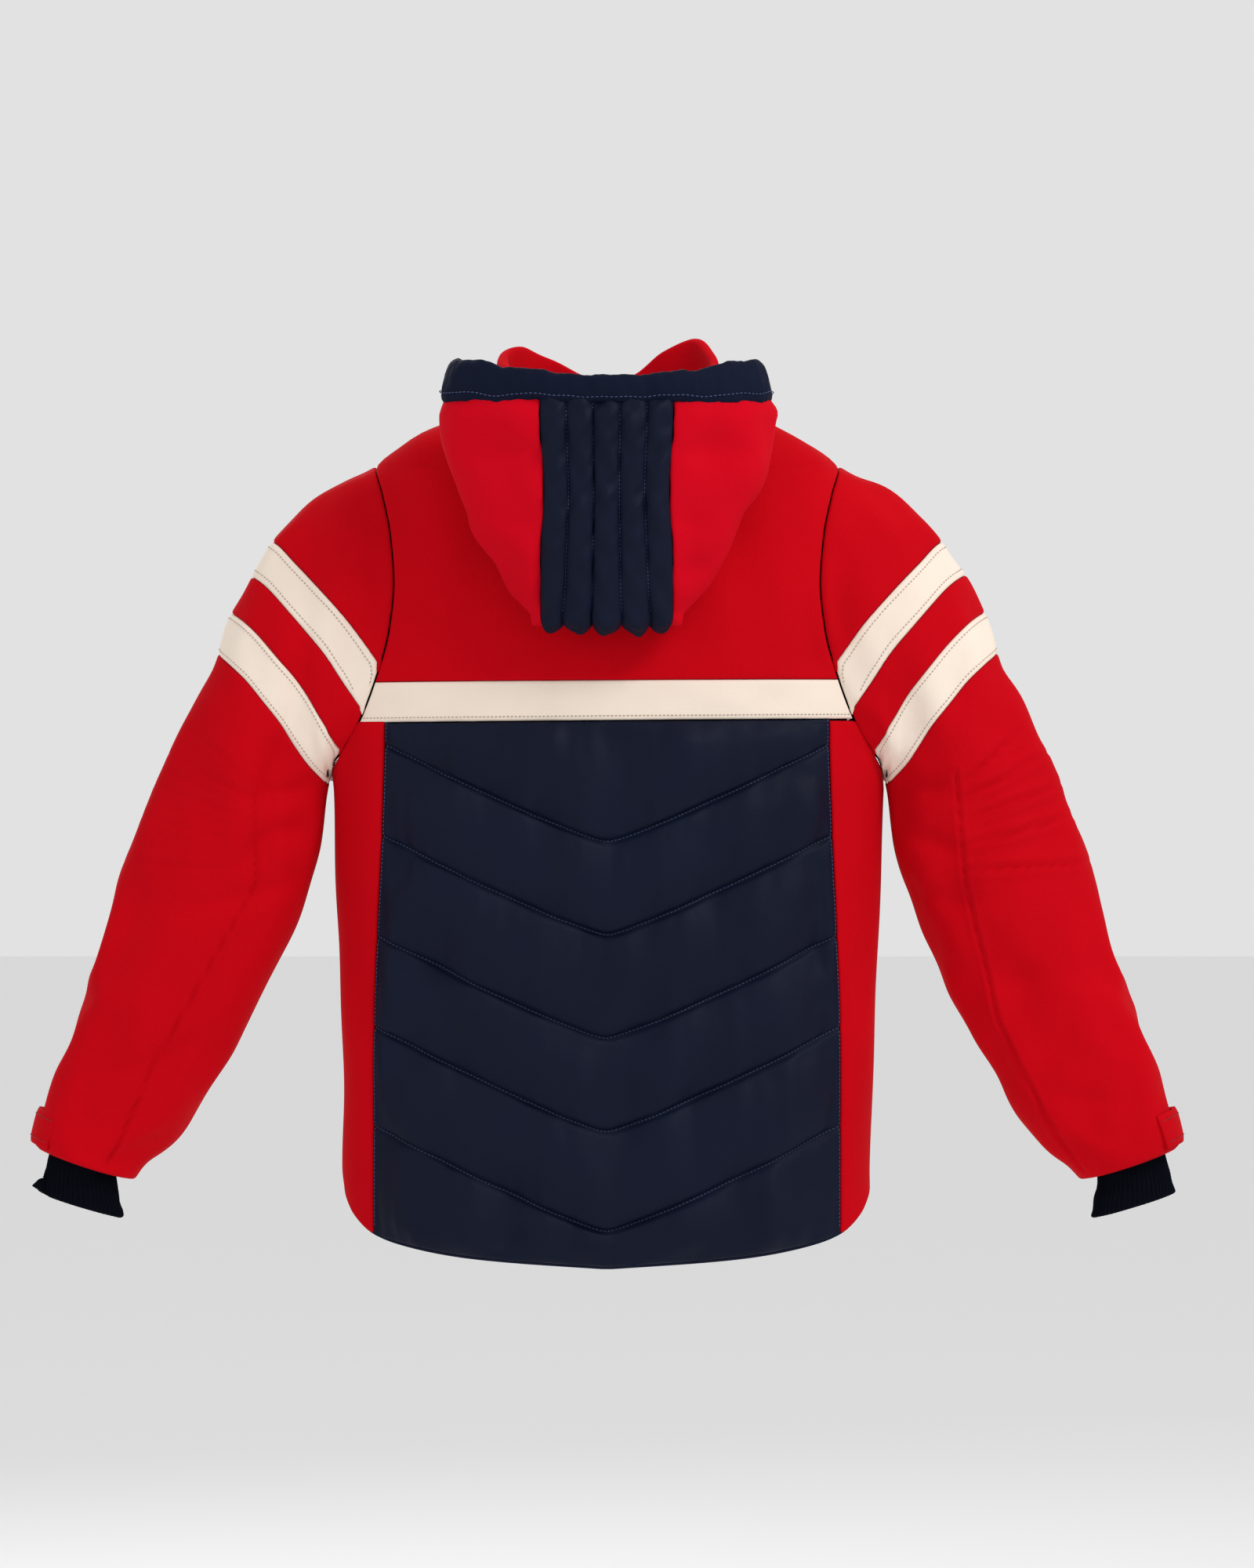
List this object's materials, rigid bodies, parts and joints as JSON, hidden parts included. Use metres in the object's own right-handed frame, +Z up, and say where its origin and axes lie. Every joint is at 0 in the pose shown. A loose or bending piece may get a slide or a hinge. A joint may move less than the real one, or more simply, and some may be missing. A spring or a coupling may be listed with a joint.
{
  "type": "ski jacket",
  "caption": "Hooded, quilted ski jacket with an open front zip, hand pockets, cuff tabs and wrist gaiters, hanging with its hood down its back.",
  "frame": {"origin": "middle of the neck opening, level with the back neck seam", "axes": "+Z up, the front faces -Y, the wearer's left is +X"},
  "size_m": [0.9926, 0.264, 0.792],
  "materials": {
    "red_softshell": "matt woven softshell",
    "navy_quilt": "soft sheen woven nylon, quilted",
    "cream_softshell": "matt woven softshell",
    "navy_trim": "folded woven binding and webbing",
    "lining_taffeta": "thin shiny taffeta",
    "wadding": "soft polyester fibre",
    "knit_rib": "stretch knit",
    "zip_tape": "woven tape with moulded teeth",
    "zip_metal": "satin"
  },
  "bodies": {
    "jacket_body": {"back_yoke": "red_softshell", "back_stripe": "cream_softshell", "back_quilted_panel": "navy_quilt", "side_panel_left": "red_softshell", "side_panel_right": "red_softshell", "front_yoke_left": "red_softshell", "front_yoke_right": "red_softshell", "front_stripe_left": "cream_softshell", "front_stripe_right": "cream_softshell", "body_wadding": "wadding", "body_lining": "lining_taffeta", "powder_skirt": "lining_taffeta", "collar_back": "red_softshell", "hang_loop": "navy_trim", "pocket_zip_left": "zip_tape", "pocket_zip_right": "zip_tape"},
    "hood": {"hood_binding": "navy_trim", "hood_centre_panel": "navy_quilt", "hood_side_left": "red_softshell", "hood_side_right": "red_softshell", "hood_lining": "lining_taffeta"},
    "front_left": {"front_centre_yoke_left": "red_softshell", "front_centre_stripe_left": "cream_softshell", "front_quilted_panel_left": "navy_quilt", "front_lining_left": "lining_taffeta", "collar_front_left": "red_softshell", "front_zip_chain_left": "zip_tape"},
    "sleeve_upper_left": {"sleeve_cap_left": "red_softshell", "sleeve_stripe_upper_left": "cream_softshell", "sleeve_band_left": "red_softshell", "sleeve_stripe_lower_left": "cream_softshell", "upper_sleeve_left": "red_softshell", "upper_sleeve_lining_left": "lining_taffeta"},
    "sleeve_lower_left": {"lower_sleeve_left": "red_softshell", "lower_sleeve_lining_left": "lining_taffeta", "wrist_gaiter_left": "knit_rib"},
    "cuff_tab_left": {"cuff_tab_left": "navy_trim"},
    "pocket_slider_left": {"pocket_slider_left": "zip_metal"},
    "pocket_pull_left": {"pocket_pull_left": "zip_metal"},
    "front_right": {"front_centre_yoke_right": "red_softshell", "front_centre_stripe_right": "cream_softshell", "front_quilted_panel_right": "navy_quilt", "front_lining_right": "lining_taffeta", "collar_front_right": "red_softshell", "front_zip_chain_right": "zip_tape", "storm_flap": "navy_trim"},
    "sleeve_upper_right": {"sleeve_cap_right": "red_softshell", "sleeve_stripe_upper_right": "cream_softshell", "sleeve_band_right": "red_softshell", "sleeve_stripe_lower_right": "cream_softshell", "upper_sleeve_right": "red_softshell", "upper_sleeve_lining_right": "lining_taffeta"},
    "sleeve_lower_right": {"lower_sleeve_right": "red_softshell", "lower_sleeve_lining_right": "lining_taffeta", "wrist_gaiter_right": "knit_rib"},
    "cuff_tab_right": {"cuff_tab_right": "navy_trim"},
    "pocket_slider_right": {"pocket_slider_right": "zip_metal"},
    "pocket_pull_right": {"pocket_pull_right": "zip_metal"},
    "zip_slider": {"front_zip_slider": "zip_metal"},
    "zip_pull": {"front_zip_pull": "zip_metal"}
  },
  "joints": [
    {"name": "hood_lift", "type": "hinge", "parent": "jacket_body", "child": "hood", "pos_m": [0, 0.066, 0.008], "axis": [1, 0, 0], "range_deg": [0, 60]},
    {"name": "front_left_open", "type": "hinge", "parent": "jacket_body", "child": "front_left", "pos_m": [0.11856, -0.084, -0.34], "axis": [-0.0837, 0, 0.9965], "range_deg": [0, 100]},
    {"name": "sleeve_left_raise", "type": "hinge", "parent": "jacket_body", "child": "sleeve_upper_left", "pos_m": [0.1995, 0, -0.031], "axis": [0, -1, 0], "range_deg": [0, 60]},
    {"name": "elbow_left_bend", "type": "hinge", "parent": "sleeve_upper_left", "child": "sleeve_lower_left", "pos_m": [0.339, 0.008, -0.392], "axis": [-0.9397, 0, -0.342], "range_deg": [0, 60]},
    {"name": "cuff_tab_left_open", "type": "hinge", "parent": "sleeve_lower_left", "child": "cuff_tab_left", "pos_m": [0.4935, 0.012, -0.604], "axis": [-0.3322, 0, 0.9432], "range_deg": [0, 110]},
    {"name": "pocket_left_zip", "type": "slide", "parent": "jacket_body", "child": "pocket_slider_left", "axis": [-0.083, -0.0422, 0.9957], "range_m": [0, 0.124]},
    {"name": "pocket_left_pull", "type": "hinge", "parent": "pocket_slider_left", "child": "pocket_pull_left", "pos_m": [0.18008, -0.06004, -0.5901], "axis": [-0.9199, -0.381, -0.0928], "range_deg": [0, 150]},
    {"name": "front_right_open", "type": "hinge", "parent": "jacket_body", "child": "front_right", "pos_m": [-0.11856, -0.084, -0.34], "axis": [-0.0837, 0, -0.9965], "range_deg": [0, 100]},
    {"name": "sleeve_right_raise", "type": "hinge", "parent": "jacket_body", "child": "sleeve_upper_right", "pos_m": [-0.1995, 0, -0.031], "axis": [0, 1, 0], "range_deg": [0, 60]},
    {"name": "elbow_right_bend", "type": "hinge", "parent": "sleeve_upper_right", "child": "sleeve_lower_right", "pos_m": [-0.339, 0.008, -0.392], "axis": [-0.9397, 0, 0.342], "range_deg": [0, 60]},
    {"name": "cuff_tab_right_open", "type": "hinge", "parent": "sleeve_lower_right", "child": "cuff_tab_right", "pos_m": [-0.4935, 0.012, -0.604], "axis": [-0.3322, 0, -0.9432], "range_deg": [0, 110]},
    {"name": "pocket_right_zip", "type": "slide", "parent": "jacket_body", "child": "pocket_slider_right", "axis": [0.083, -0.0422, 0.9957], "range_m": [0, 0.124]},
    {"name": "pocket_right_pull", "type": "hinge", "parent": "pocket_slider_right", "child": "pocket_pull_right", "pos_m": [-0.18008, -0.06004, -0.5901], "axis": [-0.9199, 0.381, 0.0928], "range_deg": [0, 150]},
    {"name": "front_zip_slide", "type": "slide", "parent": "front_left", "child": "zip_slider", "axis": [0, 0, 1], "range_m": [0, 0.51]},
    {"name": "front_zip_pull", "type": "hinge", "parent": "zip_slider", "child": "zip_pull", "pos_m": [0.0054, -0.0885, -0.64], "axis": [-1, 0, 0], "range_deg": [0, 150]}
  ]
}
